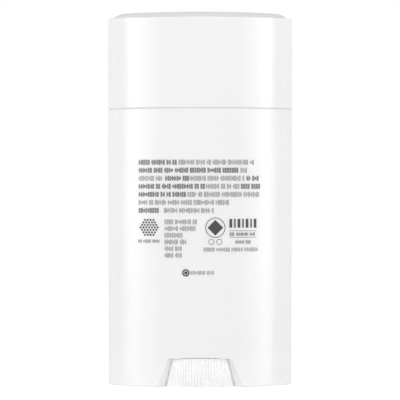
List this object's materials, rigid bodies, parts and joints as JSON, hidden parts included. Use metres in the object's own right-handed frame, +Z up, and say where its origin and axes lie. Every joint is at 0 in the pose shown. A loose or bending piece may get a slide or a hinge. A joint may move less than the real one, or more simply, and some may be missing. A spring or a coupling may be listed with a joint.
{
  "type": "deodorant stick",
  "caption": "Oval twist-up deodorant stick with a double-walled barrel, an outer cap, an inner seal and a ribbed dial in a window at its foot that drives a central screw.",
  "frame": {"origin": "centre of the foot of the barrel, on the surface it stands on", "axes": "+Z up along the barrel, +X to the right along the wide side, the printed front looks towards -Y"},
  "size_m": [0.0636, 0.0346, 0.1278],
  "materials": {
    "body_white": "satin white moulded plastic",
    "dial_white": "satin white moulded plastic",
    "inner_white": "plain white moulded plastic",
    "seal_clear": "milky translucent moulded plastic",
    "stick_wax": "smooth dry wax"
  },
  "bodies": {
    "barrel": {"barrel": "body_white"},
    "dial": {"dial_screw": "dial_white"},
    "carriage": {"elevator": "inner_white", "solid_stick": "stick_wax"},
    "seal": {"inner_seal": "seal_clear"},
    "cap": {"cap": "body_white"}
  },
  "joints": [
    {"name": "dial_turn", "type": "hinge", "parent": "barrel", "child": "dial", "pos_m": [0, 0, 0.005], "axis": [0, 0, -1], "range_deg": [0, 7740]},
    {"name": "stick_rise", "type": "slide", "parent": "barrel", "child": "carriage", "axis": [0, 0, 1], "range_m": [0, 0.0753]},
    {"name": "seal_pull", "type": "slide", "parent": "carriage", "child": "seal", "axis": [0, 0, 1], "range_m": [0, 0.02]},
    {"name": "cap_pull", "type": "slide", "parent": "seal", "child": "cap", "axis": [0, 0, 1], "range_m": [0, 0.03]}
  ],
  "couplings": [
    {"joint": "stick_rise", "follows": "dial_turn", "m_per_rad": 0.00055704}
  ]
}
